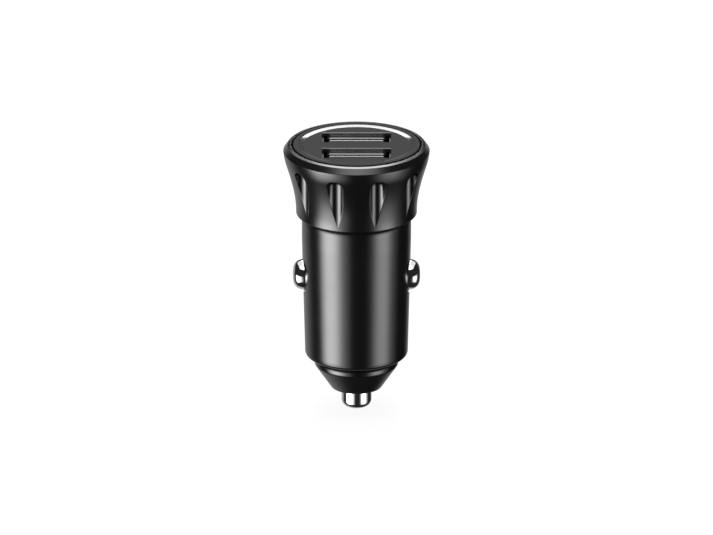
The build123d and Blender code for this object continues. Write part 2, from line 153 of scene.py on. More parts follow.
# Face plate, its openings, the cells along their long and short sides, and their lips
PLATE_TOP = HEAD_TOP
PLATE_EDGE = 0.08
FACE_HEIGHT = PLATE_TOP - 0.3
DISH_DEPTH = 0.2
DISH_OUTER = PLATE_RADIUS - 0.95
DISH_INNER = DISH_OUTER - 0.95
DISH_START = 0.8
POLISH_BLEND = 0.02
SLOT_PITCH = 8.66
SLOT_WIDTH = 13.15
SLOT_DEPTH = 5.4
OPENING_EDGE = 0.06
FAR_EDGE = 0.12
LONG_CELLS = 48
SHORT_CELLS = 16
REBATE_WIDTH = 13.3
REBATE_DEPTH = 5.9
REBATE_TOP = 12.85
LIP_REACH = 0.7
LIP_RISE = 0.2
LIP_RAMP = 0.6
LIP_WIDTH = 10.7
LIP_TAPER = 0.32
LIP_ROUND = 0.12
LIP_END_ROUND = 0.08
TIP_RISE = 0.16

# Nose and plunger
NOSE_BORE = 7.3
COLLAR_RADIUS = 8.05
COLLAR_LENGTH = 1.9
COLLAR_TOP_ROUND = 1.3
COLLAR_ROUND = 0.8
CONE_TIP_RADIUS = 4.9
CONE_ROUND = 0.25
PLUNGER_RADIUS = 2.88
PLUNGER_ROUND = 1.4
PLUNGER_GAP = 0.12
SHOULDER_RISE = 2.1
CAVITY_RADIUS = 4.2
FLANGE_HEIGHT = 1.0
BOSS_RADIUS = 2.2
COIL_RADIUS = 2.9
COIL_TURNS = 5
WIRE_RADIUS = 0.225

# Side contacts
DOME_HEIGHT = -12.7
DOME_RADIUS = 3.0
DOME_RISE = 3.0
DOME_POWER = 3.0
CONTACT_SHEET = 0.3
SHEET_EDGE = CONTACT_SHEET / 3
CONTACT_FLANGE = 3.7
FLANGE_FACE = 8.09
LEAF_WIDTH = 4.0
LEAF_LAP = 0.6
LEAF_ROOT = 7.5
LEAF_BEND = -1.5
LEAF_TOP = 2.5

# Photograph: the width that it shows, the view's elevation in degrees and the point at its middle; then
# the lens, and how near and far it sees
VIEW_WIDTH = 136.35
VIEW_ELEVATION = 20.9
VIEW_CENTRE = (0.0, 0.0, -11.36)
LENS = 450.0
SENSOR = 36.0
CLIP_NEAR = 100.0
CLIP_FAR = 20000.0

# Stage: the lamp overhead as name, azimuth, elevation, half its height and layers of half width and
# brightness; then soft patches of light in the room as azimuth, elevation, half their width and height, the
# fall outside both, and brightness. Angles are in degrees, with azimuth 0 in front and 90 to the right
ROOM_LIGHT = 0.02
FLOOR_SIZE = 3000.0
FLOOR_GLOW = 0.92
FLOOR_TONE = 0.1
LAMP_DISTANCE = 400.0
OVERHEAD = ("overhead_softbox", 180.0, 68.0, 38.0, ((12.0, 7.0), (40.0, 0.9)))
LIGHT_PATCHES = (
    (-58.0, -15.0, 4.0, 6.0, 29.0, 11.0, 4.2),
    (-58.0, -25.0, 4.0, 7.0, 29.0, 19.0, 2.7),
    (-48.0, -22.0, 18.0, 14.0, 22.0, 12.0, 1.1),
    (57.0, -15.0, 3.0, 6.0, 25.0, 11.0, 1.8),
    (59.0, -25.0, 3.0, 7.0, 25.0, 19.0, 1.1),
    (62.0, -22.0, 18.0, 14.0, 24.0, 12.0, 0.5),
    (0.0, 64.0, 45.0, 9.0, 45.0, 5.0, 3.0),
    (-165.0, -35.0, 25.0, 30.0, 36.0, 20.0, 0.48),
)


# Surfaces


def rounded_run(corners, arc_steps=8, support=EDGE_SUPPORT, longest=1.5):
    """Outline through (across, up) corners with a rounding each: a rounded corner is an arc tangent to
    its two runs, and each straight run has a point close to both ends and others evenly between."""
    points = np.array([corner[:2] for corner in corners], float)
    pieces = []
    for index, (_, _, rounding) in enumerate(corners):
        corner = points[index]
        if rounding == 0:
            pieces.append(corner[None])
            continue
        back = points[index - 1] - corner
        ahead = points[(index + 1) % len(points)] - corner
        back = back / np.linalg.norm(back)
        ahead = ahead / np.linalg.norm(ahead)
        opening = np.arccos(np.clip(back @ ahead, -1, 1))
        middle = (back + ahead) / np.linalg.norm(back + ahead)
        centre = corner + middle * rounding / np.sin(opening / 2)
        start = corner + back * rounding / np.tan(opening / 2) - centre
        end = corner + ahead * rounding / np.tan(opening / 2) - centre
        turn = pi - opening
        share = np.linspace(0, 1, arc_steps + 1)[:, None]
        arc = np.sin((1 - share) * turn) * start + np.sin(share * turn) * end
        pieces.append(centre + arc / np.sin(turn))
    run = []
    for piece, following in zip(pieces, pieces[1:] + pieces[:1]):
        run.append(piece)
        first, last = piece[-1], following[0]
        length = np.linalg.norm(last - first)
        inset = min(support, length / 4) / max(length, TINY)
        steps = max(1, int(np.ceil(length / longest)))
        run.append(first + np.linspace(inset, 1 - inset, steps + 1)[:, None] * (last - first))
    return np.concatenate(run)


def open_run(corners):
    """The outline of rounded_run from its first corner to its last, without the run that closes it."""
    run = rounded_run(corners)
    last = np.flatnonzero((run == corners[-1][:2]).all(1))[0]
    return run[:last + 1]


def carried_round(outline, angle):
    """Outline (radius, height) carried round the axis through given angles: a grid of heights by angles."""
    radius, height = outline[:, :1], outline[:, 1:]
    return np.stack([radius * np.cos(angle), radius * np.sin(angle), height + 0 * angle], -1)


def turned(outline, columns=192):
    """Outline (radius, height) carried once round the axis through even angles."""
    return carried_round(outline, np.linspace(0, 2 * pi, columns, endpoint=False))


def grid_quads(rows, columns, wrap_rows, wrap_columns, offset=0):
    """Vertex numbers of the quads of a grid, joined end to end where it wraps."""
    row = np.arange(rows if wrap_rows else rows - 1)[:, None]
    column = np.arange(columns if wrap_columns else columns - 1)[None]
    next_row, next_column = (row + 1) % rows, (column + 1) % columns
    corners = [row * columns + column, row * columns + next_column]
    corners += [next_row * columns + next_column, next_row * columns + column]
    return np.stack(np.broadcast_arrays(*corners), -1).reshape(-1, 4) + offset


def make_piece(name, grids, sharp=40.0):
    """Mesh object from grids given as (points, wrap_rows, wrap_columns, keep): the grids are laid side
    by side, points that meet are merged, flat quads are dropped and the faces are turned outwards."""
    points, quads, count = [], [], 0
    for grid, wrap_rows, wrap_columns, keep in grids:
        rows, columns = grid.shape[:2]
        faces = grid_quads(rows, columns, wrap_rows, wrap_columns, count)
        quads.append(faces if keep is None else faces[keep.reshape(-1)])
        points.append(grid.reshape(-1, 3))
        count += rows * columns
    mesh = bpy.data.meshes.new(name)
    mesh.from_pydata(np.concatenate(points) * MM, [], np.concatenate(quads).tolist())
    work = bmesh.new()
    work.from_mesh(mesh)
    bmesh.ops.remove_doubles(work, verts=work.verts, dist=MERGE_DISTANCE * MM)
    bmesh.ops.delete(work, geom=[v for v in work.verts if not v.link_faces], context="VERTS")
    bmesh.ops.recalc_face_normals(work, faces=work.faces)
    work.to_mesh(mesh)
    work.free()
    mesh.shade_smooth()
    mesh.set_sharp_from_angle(angle=radians(sharp))
    piece = bpy.data.objects.new(name, mesh)
    bpy.context.scene.collection.objects.link(piece)
    return piece


def finish_piece(piece, body, slot, *nodes):
    """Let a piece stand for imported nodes, ride on their body and take their finish."""
    piece.data.materials.append(finishes[slot])
    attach(piece, body)
    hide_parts(*nodes)


def barrel_wall_radius(height):
    """Outer radius of the barrel: a straight land, then an even taper to the tip."""
    fall = np.clip((-height - BARREL_LAND) / (-BARREL_END - BARREL_LAND), 0, 1)
    return BARREL_RADIUS + (BARREL_TIP_RADIUS - BARREL_RADIUS) * fall


def slot_ring(grid, rows, first, last):
    """The points of a grid round the edge of a block of its rows and columns, in order."""
    top, bottom = grid[rows[0], first:last], grid[rows[-1], last:first:-1]
    right, left = grid[rows[:-1], last], grid[rows[:0:-1], first]
    return np.concatenate([top, right, bottom, left])


def barrel_grids(window_cells=28, side_cells=30, outer_cells=(17, 21), inner_cells=(7, 11), top_cells=8,
                 edge_cells=7, pull=2.0):
    """Tapered tube: its closed outline carried round the axis, with a slot on each side. Round a slot the
    even grid is drawn in: square rings about the slot's middle pass smoothly into rings of the slot's
    own outline, quads inside the first ring are left out, and a wall joins the outer and inner edge.
    Of the two outer and the two inner cells, the first are above the slot and the second below it."""
    outer_above, outer_below = outer_cells
    inner_above, inner_below = inner_cells
    half_height = SLOT_HALF_WIDTH + SLOT_STRAIGHT
    reference = barrel_wall_radius(SLOT_MIDDLE)
    slot_angle = np.arcsin(SLOT_HALF_WIDTH / reference)
    inside = np.arcsin(np.linspace(-1, 1, window_cells + 1) * SLOT_HALF_WIDTH / reference)
    outside = np.linspace(slot_angle, pi / 2, side_cells + 1)[1:]
    angle = np.concatenate([-outside[::-1], inside, outside[:-1]])
    window = SLOT_MIDDLE + half_height * np.linspace(1, -1, window_cells + 1)
    edge_start = BARREL_END + BARREL_EDGE
    floor = BARREL_END + BARREL_FLOOR
    seat_height = SPIGOT_END - FIT_GAP
    top_turn = np.linspace(pi / 2, 0, top_cells + 1)
    top_z = BARREL_TOP_FALL * (np.sin(top_turn) - 1)
    outer_z = np.concatenate([top_z[:-1], np.linspace(top_z[-1], window[0], outer_above + 1)[:-1], window,
                              np.linspace(window[-1], edge_start, outer_below + 1)[1:]])
    inner_z = np.concatenate([np.linspace(floor, window[-1], inner_below + 1)[:-1], window[::-1],
                              np.linspace(window[0], seat_height, inner_above + 1)[1:]])
    turn = np.linspace(0, pi / 2, edge_cells + 1)[1:]
    edge_radius = BARREL_TIP_RADIUS - BARREL_EDGE * (1 - np.cos(turn))
    edge = np.stack([edge_radius, edge_start - BARREL_EDGE * np.sin(turn)], -1)
    edge_end = BARREL_TIP_RADIUS - BARREL_EDGE - EDGE_SUPPORT
    foot = [(edge_end, BARREL_END), (NOSE_BORE, BARREL_END), (NOSE_BORE, floor)]
    seat = [(SPIGOT_RADIUS + FIT_GAP, seat_height), (SPIGOT_RADIUS + FIT_GAP, 0)]
    outer = np.stack([barrel_wall_radius(outer_z), outer_z], -1)
    outer[:len(top_z), 0] -= BARREL_TOP_INSET * (1 - np.cos(top_turn))
    inner = np.stack([np.full_like(inner_z, BARREL_BORE), inner_z], -1)
    outline = np.concatenate([outer, edge, foot, inner, seat])
    outer_rows = np.arange(len(outer))
    inner_rows = np.arange(len(inner)) + len(outer) + len(edge) + len(foot)
    walled = np.zeros(len(outline), bool)
    walled[outer_rows] = True
    walled[inner_rows] = True
    across = np.sin(angle)[None] * reference / SLOT_HALF_WIDTH
    along = (outline[:, 1:] - SLOT_MIDDLE) / half_height
    ring = np.maximum(np.abs(across), np.abs(along))
    spread = np.clip((ring - 1) / (pull - 1), 0, 1)
    spread = np.where(walled[:, None], spread * spread * (3 - 2 * spread), 1)
    direction = np.arctan2(along, across)
    round_y = ring * SLOT_HALF_WIDTH * np.cos(direction)
    rise = SLOT_HALF_WIDTH * np.sin(direction) + SLOT_STRAIGHT * np.sign(np.round(along, 6))
    height = (1 - spread) * (SLOT_MIDDLE + ring * rise) + spread * outline[:, 1:]
    radius = outline[:, :1] + np.where(np.isin(np.arange(len(outline)), outer_rows)[:, None],
                                       barrel_wall_radius(height) - barrel_wall_radius(outline[:, 1:]), 0)
    sideways = (1 - spread) * round_y + spread * radius * np.sin(angle)
    forward = np.sqrt(np.maximum(radius**2 - sideways**2, 0))
    half = np.stack([forward, sideways, height], -1)
    grid = np.concatenate([half, half * (-1, -1, 1)], 1)
    in_columns = np.tile(np.abs(across) < 1 + TINY, 2)
    in_rows = walled[:, None] & (np.abs(along) < 1 + TINY)
    keep = ~(in_columns & np.roll(in_columns, -1, 1) & in_rows & np.roll(in_rows, -1, 0))
    first = len(outside)
    outer_start = top_cells + outer_above
    outer_window = outer_rows[outer_start:outer_start + window_cells + 1]
    inner_window = inner_rows[inner_below:inner_below + window_cells + 1][::-1]
    grids = [(grid, True, True, keep)]
    for start in (first, first + len(angle)):
        edges = [slot_ring(grid, rows, start, start + window_cells) for rows in (outer_window, inner_window)]
        grids.append((np.stack(edges), False, True, None))
    return grids


def head_wall_radius(height):
    """Outer radius of the head: a straight skirt, a cubic that leaves it smoothly and flares, and a parabola
    that turns the flare back towards upright at the crown."""
    run = TURN_HEIGHT - FLARE_START
    share = np.clip((height - FLARE_START) / run, 0, 1)
    lift = (TURN_RADIUS - SKIRT_RADIUS) * (3 - 2 * share) * share**2
    above = np.clip(height - TURN_HEIGHT, 0, None)
    bend = (FLARE_SLOPE - CROWN_SLOPE) / (CROWN_HEIGHT - TURN_HEIGHT)
    turn = FLARE_SLOPE * above - bend * above**2 / 2
    return SKIRT_RADIUS + lift + run * FLARE_SLOPE * (share - 1) * share**2 + turn


def head_grid(groove_cells=12, edge_cells=4, land_cells=10, wall_cells=(3, 49, 39, 8)):
    """Flared cup: its closed outline carried round the axis in sectors, one for each flute. In a sector's
    half the columns run from the flute's middle round its groove, a cylinder with a ball end cut into
    the wall, over a rounded edge, which is a quadratic curve, and along the wall to the next sector. The
    wall's cells are counted between the heights where the spacing of its rows changes."""
    foot_cells, middle_cells, ball_cells, crown_cells = wall_cells
    wall = np.concatenate(
        [
            np.linspace(SKIRT_ROUND + 2 * ROW_GAP, WALL_FOOT, foot_cells + 1)[:-1],
            np.linspace(WALL_FOOT, BALL_ROWS, middle_cells + 1)[:-1],
            np.linspace(BALL_ROWS, FLUTE_TOP, ball_cells + 1),
            np.linspace(FLUTE_TOP + ROW_GAP, CROWN_START, crown_cells + 1),
        ]
    )
    lower = rounded_run(
        [
            (SPIGOT_BORE, SPIGOT_END, 0),
            (SPIGOT_RADIUS, SPIGOT_END, 0),
            (SPIGOT_RADIUS, 0, 0),
            (SKIRT_RADIUS, 0, SKIRT_ROUND),
            (SKIRT_RADIUS, WALL_FOOT, 0),
        ]
    )
    upper = open_run(
        [
            (head_wall_radius(CROWN_START), CROWN_START, 0),
            (head_wall_radius(CROWN_HEIGHT), CROWN_HEIGHT, CROWN_ROUND),
            (RIM_RADIUS, RIM_TOP - RIM_BEVEL_FALL, RIM_ROUND),
            (RIM_RADIUS - RIM_BEVEL, RIM_TOP, RIM_ROUND),
            (RIM_BORE, RIM_TOP, RIM_BORE_ROUND),
            (RIM_BORE, PLATE_SEAT, 0),
            (HEAD_BORE, PLATE_SEAT, 0),
            (HEAD_BORE, HEAD_FLOOR, 0),
            (SPIGOT_BORE, HEAD_FLOOR, 0),
        ]
    )
    skirt_end = np.argmax((lower[:, 0] > SKIRT_RADIUS - TINY) & (lower[:, 1] > 0))
    wall_outline = np.stack([head_wall_radius(wall), wall], -1)
    outline = np.concatenate([lower[:skirt_end + 1], wall_outline, upper[1:]])
    radius, height = outline[:, :1], outline[:, 1:]
    on_wall = np.zeros((len(outline), 1), bool)
    on_wall[skirt_end + 1:skirt_end + 1 + len(wall)] = True
    above_ball = np.clip(height - FLUTE_BALL, 0, FLUTE_RADIUS)
    groove = np.sqrt(np.maximum(FLUTE_RADIUS**2 - above_ball**2, TINY))
    reach = (FLUTE_AXIS**2 + groove**2 - radius**2) / (2 * FLUTE_AXIS * groove)
    cut = on_wall & (height <= FLUTE_TOP) & (reach < 1)
    opening = np.where(cut, np.arccos(np.clip(reach, -1, 1)), 0)
    centre = np.where(cut, FLUTE_AXIS, radius)
    groove = np.where(cut, groove, 0)
    round_in = np.minimum(FLUTE_EDGE, GROOVE_SHARE * groove * opening)
    inner_turn = opening - np.divide(round_in, groove, out=np.zeros_like(groove), where=groove > 0)
    edge = np.stack([centre - groove * np.cos(opening), groove * np.sin(opening)], -1)
    turn = np.linspace(0, 1, groove_cells + 1) * inner_turn
    groove_part = np.stack([centre - groove * np.cos(turn), groove * np.sin(turn)], -1)
    sector = pi / FLUTES
    edge_angle = np.arctan2(edge[..., 1], edge[..., 0])
    land_start = edge_angle + np.minimum(round_in / radius, LAND_SHARE * (sector - edge_angle))
    angle = land_start + np.linspace(0, 1, land_cells + 1) * (sector - land_start)
    land_part = np.stack([radius * np.cos(angle), radius * np.sin(angle)], -1)
    share = np.linspace(0, 1, edge_cells + 1)[1:-1][None, :, None]
    begin, end = groove_part[:, -1:], land_part[:, :1]
    edge_part = (1 - share) ** 2 * begin + 2 * share * (1 - share) * edge + share**2 * end
    half = np.concatenate([groove_part, edge_part, land_part], 1)
    sector_columns = np.concatenate([half[:, :0:-1] * (1, -1), half[:, :-1]], 1)
    placed = []
    for flute in range(FLUTES):
        middle = -pi / 2 + (2 * flute + 1) * sector
        x = sector_columns[..., 0] * cos(middle) - sector_columns[..., 1] * sin(middle)
        y = sector_columns[..., 0] * sin(middle) + sector_columns[..., 1] * cos(middle)
        placed.append(np.stack([x, y, height + 0 * x], -1))
    return np.concatenate(placed, 1)


def rectangle_ring(half_width, front, back, height):
    """Points round a level rectangle from its front left corner, evenly spaced on each side."""
    across = np.linspace(-half_width, half_width, LONG_CELLS + 1)
    along = np.linspace(front, back, SHORT_CELLS + 1)
    sides = [np.stack([across[:-1], np.full(LONG_CELLS, front)], -1)]
    sides.append(np.stack([np.full(SHORT_CELLS, half_width), along[:-1]], -1))
    sides.append(np.stack([across[:0:-1], np.full(LONG_CELLS, back)], -1))
    sides.append(np.stack([np.full(SHORT_CELLS, -half_width), along[:0:-1]], -1))
    ring = np.concatenate(sides)
    return np.concatenate([ring, np.full((len(ring), 1), height)], -1)


def opening_rows(middle, steps=4):
    """Wall of one opening: rings of a rectangle that start wider at the face, turn down over rounded
    edges, or a flat slope at the far side, and step out below to clear the socket's shell."""
    near, far = middle - SLOT_DEPTH / 2, middle + SLOT_DEPTH / 2
    rows = []
    for turn in np.linspace(0, pi / 2, steps + 1):
        slack, drop, fall = 1 - np.sin(turn), 1 - np.cos(turn), turn / (pi / 2)
        front, back = near - OPENING_EDGE * slack, far + FAR_EDGE * (1 - fall)
        ring = rectangle_ring(SLOT_WIDTH / 2 + OPENING_EDGE * slack, front, back, FACE_HEIGHT)
        on_slope = ring[:, 1] > far - TINY
        ring[:, 2] -= np.where(on_slope, FAR_EDGE * fall, OPENING_EDGE * drop)
        rows.append(ring)
    for half_width, half_depth, height in (
        (SLOT_WIDTH / 2, SLOT_DEPTH / 2, REBATE_TOP),
        (REBATE_WIDTH / 2, REBATE_DEPTH / 2, REBATE_TOP),
        (REBATE_WIDTH / 2, REBATE_DEPTH / 2, PLATE_SEAT),
    ):
        rows.append(rectangle_ring(half_width, middle - half_depth, middle + half_depth, height))
    return np.stack(rows)


def plate_grids(bar_cells=10, dish_cells=8, field_cells=5):
    """Dished plate: walls of the two openings, a bar between them, a flat field from their outer edge to a
    circle, and the dish, rim and edge carried round the axis through the field's own angles."""
    front, rear = (opening_rows(middle) for middle in (-SLOT_PITCH / 2, SLOT_PITCH / 2))
    corner = LONG_CELLS + SHORT_CELLS
    grids = [(front, False, True, None), (rear, False, True, None)]
    rings = []
    for row in (0, -1):
        near, far = front[row], rear[row]
        bar_front = near[corner:corner + LONG_CELLS + 1][::-1]
        bar_back = far[:LONG_CELLS + 1]
        share = np.linspace(0, 1, bar_cells + 1)[:, None, None]
        bar = bar_front + share * (bar_back - bar_front)
        grids.append((bar, False, False, None))
        right, left = bar[:-1, -1], bar[-2:0:-1, 0]
        ring = [near[:corner], right, far[LONG_CELLS:], far[:1], left, near[corner + LONG_CELLS:]]
        rings.append(np.concatenate(ring))
    around, under = rings
    angle = np.arctan2(around[:, 1], around[:, 0])
    share = np.linspace(0, 1, dish_cells + 1)[1:]
    rise = DISH_START * share + (1 - DISH_START) * share**2
    dish = np.stack([DISH_INNER + (DISH_OUTER - DISH_INNER) * share, FACE_HEIGHT + DISH_DEPTH * rise], -1)
    rim = open_run(
        [
            (DISH_OUTER, PLATE_TOP, 0),
            (PLATE_RADIUS, PLATE_TOP, PLATE_EDGE),
            (PLATE_RADIUS, PLATE_SEAT, 0),
        ]
    )
    skin = carried_round(np.concatenate([[(DISH_INNER, FACE_HEIGHT)], dish, rim]), angle)
    share = np.linspace(0, 1, field_cells + 1)[:, None, None]
    field = around + share * (skin[0] - around)
    below = under + share * (skin[-1] - under)
    grids += [(field, False, True, None), (skin, False, True, None), (below, False, True, None)]
    return grids


def lip_grid(middle, columns=24, end_steps=4):
    """Lead-in lip on the near edge of an opening: its closed outline (along, up) carried across, narrower
    towards its tip. Both ends are drawn in over a quarter round and closed at the outline's middle."""
    near = middle - SLOT_DEPTH / 2
    outline = rounded_run(
        [
            (near - LIP_RAMP, FACE_HEIGHT - SINK, 0),
            (near + LIP_REACH, FACE_HEIGHT + LIP_RISE, LIP_ROUND),
            (near + LIP_REACH, REBATE_TOP + SINK, 0),
            (near - LIP_RAMP, REBATE_TOP + SINK, 0),
        ],
        longest=0.5,
    )
    heart = (outline.max(0) + outline.min(0)) / 2

    def half_width(along):
        """Half the lip's width, which narrows evenly from the opening's edge to the tip."""
        return LIP_WIDTH / 2 - LIP_TAPER * np.clip((along - near) / LIP_REACH, 0, 1)

    turn = np.linspace(0, pi / 2, end_steps + 1)
    end_short = LIP_END_ROUND * (1 - np.sin(turn))
    end_draw = LIP_END_ROUND * (1 - np.cos(turn)) / np.ptp(outline, axis=0).min() * 2
    short = np.concatenate([[0], end_short[::-1], np.full(columns, LIP_END_ROUND), end_short, [0]])
    draw = np.concatenate([[1], end_draw[::-1], np.zeros(columns), end_draw, [1]])
    side = np.ones(end_steps + 2)
    side = np.concatenate([-side, np.linspace(-1, 1, columns + 2)[1:-1], side])
    across = side * (half_width(outline[:, :1]) - short)
    across[:, 0], across[:, -1] = -half_width(heart[0]), half_width(heart[0])
    section = heart + (outline[:, None] - heart) * (1 - draw)[None, :, None]
    return np.concatenate([across[..., None], section], -1)


def dome_outline(steps=24):
    """Half section of a stamped dome as (radius, reach): half a superellipse that runs on into a straight
    wall and a flat flange, and back inside at the sheet's thickness."""
    turn = np.linspace(0, pi / 2, steps + 1)
    across, up = np.sin(turn) ** (2 / DOME_POWER), np.maximum(np.cos(turn), 0) ** (2 / DOME_POWER)
    base = CONTACT_REACH - DOME_RISE
    outside = np.stack([DOME_RADIUS * across, base + DOME_RISE * up], -1)
    shrink = np.array([DOME_RADIUS - CONTACT_SHEET, DOME_RISE - CONTACT_SHEET])
    inside = np.stack([shrink[0] * across, base + shrink[1] * up], -1)[::-1]
    foot = (base + FLANGE_FACE) / 2
    flange = open_run(
        [
            (DOME_RADIUS, foot, 0),
            (DOME_RADIUS, FLANGE_FACE, SHEET_EDGE),
            (CONTACT_FLANGE, FLANGE_FACE, SHEET_EDGE),
            (CONTACT_FLANGE, FLANGE_FACE - CONTACT_SHEET, SHEET_EDGE),
            (shrink[0], FLANGE_FACE - CONTACT_SHEET, 0),
            (shrink[0], foot, 0),
        ]
    )
    return np.concatenate([outside, flange, inside])


def contact_grids(side):
    """Side contact: the dome's half section turned about its own sideways axis, and a leaf, which is a flat
    rounded section carried up a bent path to the root and closed in a point at each end."""
    turn = turned(dome_outline(), columns=96)
    dome = np.stack([side * turn[..., 2], turn[..., 0], DOME_HEIGHT + turn[..., 1]], -1)
    middle = FLANGE_FACE - CONTACT_SHEET / 2
    bend = DOME_HEIGHT + CONTACT_FLANGE
    path = np.array([(middle, bend - LEAF_LAP), (middle, bend),
                     (LEAF_ROOT, LEAF_BEND), (LEAF_ROOT, LEAF_TOP)])
    lean = np.gradient(path, axis=0)
    lean = lean / np.linalg.norm(lean, axis=1)[:, None]
    section = rounded_run(
        [
            (-LEAF_WIDTH / 2, -CONTACT_SHEET / 2, SHEET_EDGE),
            (LEAF_WIDTH / 2, -CONTACT_SHEET / 2, SHEET_EDGE),
            (LEAF_WIDTH / 2, CONTACT_SHEET / 2, SHEET_EDGE),
            (-LEAF_WIDTH / 2, CONTACT_SHEET / 2, SHEET_EDGE),
        ],
        arc_steps=3,
    )
    along = np.concatenate([path[:1], path, path[-1:]])[:, None]
    lean = np.concatenate([lean[:1], lean, lean[-1:]])[:, None]
    open_end = np.pad(np.ones(len(path)), 1)[:, None]
    across = section[None, :, 0] * open_end
    out = section[None, :, 1] * open_end
    x = along[..., 0] + out * lean[..., 1]
    z = along[..., 1] - out * lean[..., 0]
    leaf = np.stack([side * x, across + 0 * x, z], -1)
    return [(dome, False, True, None), (leaf, False, True, None)]


def nose_outline():
    """Half section of the nose: a collar, a cone, the plunger's bore, its cavity and a snap spigot above."""
    shoulder = NOSE_END + SHOULDER_RISE
    spigot = NOSE_BORE - FIT_GAP
    bore = PLUNGER_RADIUS + PLUNGER_GAP
    return rounded_run(
        [
            (COLLAR_RADIUS, BARREL_END, COLLAR_TOP_ROUND),
            (COLLAR_RADIUS, BARREL_END - COLLAR_LENGTH, COLLAR_ROUND),
            (CONE_TIP_RADIUS, NOSE_END, CONE_ROUND),
            (bore, NOSE_END, CONE_ROUND / 2),
            (bore, shoulder, 0),
            (CAVITY_RADIUS, shoulder, 0),
            (CAVITY_RADIUS, NOSE_TOP, 0),
            (spigot, NOSE_TOP, 0),
            (spigot, BARREL_END, 0),
        ]
    )


def plunger_outline():
    """Half section of the plunger: a pin with a rounded end, a flange and a boss that centres the coil."""
    flange = NOSE_END + SHOULDER_RISE + STOP_GAP
    return rounded_run(
        [
            (0, PLUNGER_END, 0),
            (PLUNGER_RADIUS, PLUNGER_END, PLUNGER_ROUND),
            (PLUNGER_RADIUS, flange, 0),
            (PLUNGER_FLANGE, flange, 0),
            (PLUNGER_FLANGE, flange + FLANGE_HEIGHT, 0),
            (BOSS_RADIUS, flange + FLANGE_HEIGHT, 0),
            (BOSS_RADIUS, PLUNGER_TOP, 0),
            (0, PLUNGER_TOP, 0),
        ],
        arc_steps=12,
    )


def coil_grid(turn_cells=40, wire_cells=12):
    """Coil behind the plunger: a round wire along the helix (R cos t, R sin t, rise t), flat at both ends."""
    turn = np.linspace(0, 2 * pi * COIL_TURNS, turn_cells * COIL_TURNS + 1)
    height = np.linspace(COIL_LOW + WIRE_RADIUS, COIL_HIGH - WIRE_RADIUS, len(turn))
    out = np.stack([np.cos(turn), np.sin(turn), 0 * turn], -1)
    path = COIL_RADIUS * out + height[:, None] * (0, 0, 1)
    along = np.gradient(path, axis=0)
    across = np.cross(out, along / np.linalg.norm(along, axis=1, keepdims=True))
    angle = np.linspace(0, 2 * pi, wire_cells, endpoint=False)[:, None]
    wire = path[:, None] + WIRE_RADIUS * (np.cos(angle) * out[:, None] + np.sin(angle) * across[:, None])
    start, end = (np.repeat(path[[index], None], wire_cells, 1) for index in (0, -1))
    return np.concatenate([start, wire, end])


# Finishes: the sockets of a Mix node for colours and for numbers, and the levels over which a noise is a hair
# line and a wave is a track
MIX_LOW, MIX_HIGH, MIX_RESULT = 6, 7, 2
MIX_FIRST, MIX_SECOND = 2, 3
HAIR_LEVEL = 0.72
TRACK_LEVEL = 0.86


def add_node(tree, kind, inputs=None, **settings):
    """New shader node with its settings, and its inputs set to values or joined to sockets."""
    node = tree.nodes.new(kind)
    for key, value in settings.items():
        setattr(node, key, value)
    for key, value in (inputs or {}).items():
        if isinstance(value, bpy.types.NodeSocket):
            tree.links.new(value, node.inputs[key])
        else:
            node.inputs[key].default_value = value
    return node


def reckon(tree, operation, *values):
    """Result of one step of arithmetic on values or sockets."""
    return add_node(tree, "ShaderNodeMath", dict(enumerate(values)), operation=operation).outputs[0]


def new_group(name, inputs, outputs):
    """Empty shader group with named number inputs and outputs, and its two end nodes."""
    group = bpy.data.node_groups.new(name, "ShaderNodeTree")
    for key, value in inputs.items():
        group.interface.new_socket(key, in_out="INPUT", socket_type="NodeSocketFloat").default_value = value
    for key in outputs:
        group.interface.new_socket(key, in_out="OUTPUT", socket_type="NodeSocketFloat")
    return group, group.nodes.new("NodeGroupInput"), group.nodes.new("NodeGroupOutput")


def moulded_grain():
    """Fine even grain of a moulded surface, and slow patches of tone: two noises on the piece."""
    group, given, put = new_group("moulded_grain", {"Grain": 9000.0, "Patch": 120.0}, ("Height", "Tone"))
    place = add_node(group, "ShaderNodeTexCoord").outputs["Object"]
    fine = {"Vector": place, "Scale": given.outputs["Grain"], "Detail": 2.0, "Roughness": 0.6}
    slow = {"Vector": place, "Scale": given.outputs["Patch"], "Detail": 4.0, "Roughness": 0.55}
    fine = add_node(group, "ShaderNodeTexNoise", fine)
    slow = add_node(group, "ShaderNodeTexNoise", slow)
    group.links.new(fine.outputs[0], put.inputs["Height"])
    group.links.new(slow.outputs[0], put.inputs["Tone"])
    return group


def handling_marks():
    """Faint marks of handling: soft smears, and hair lines where a stretched noise is over a level."""
    group, given, put = new_group("handling_marks", {"Smear": 160.0, "Hair": 420.0}, ("Mark",))
    place = add_node(group, "ShaderNodeTexCoord").outputs["Object"]
    smear = {"Vector": place, "Scale": given.outputs["Smear"], "Detail": 5.0}
    smear = add_node(group, "ShaderNodeTexNoise", smear)
    soft = {"Value": smear.outputs[0], "From Min": 0.45, "From Max": 0.75, "To Min": 0.0, "To Max": 0.7}
    soft = add_node(group, "ShaderNodeMapRange", soft)
    slant = {"Vector": place, "Rotation": (0.6, 0.4, 0.9), "Scale": (1.0, 14.0, 14.0)}
    slant = add_node(group, "ShaderNodeMapping", slant)
    hair = {"Vector": slant.outputs[0], "Scale": given.outputs["Hair"], "Detail": 1.0}
    hair = add_node(group, "ShaderNodeTexNoise", hair)
    thin = reckon(group, "GREATER_THAN", hair.outputs[0], HAIR_LEVEL)
    group.links.new(reckon(group, "MAXIMUM", soft.outputs[0], thin), put.inputs["Mark"])
    return group


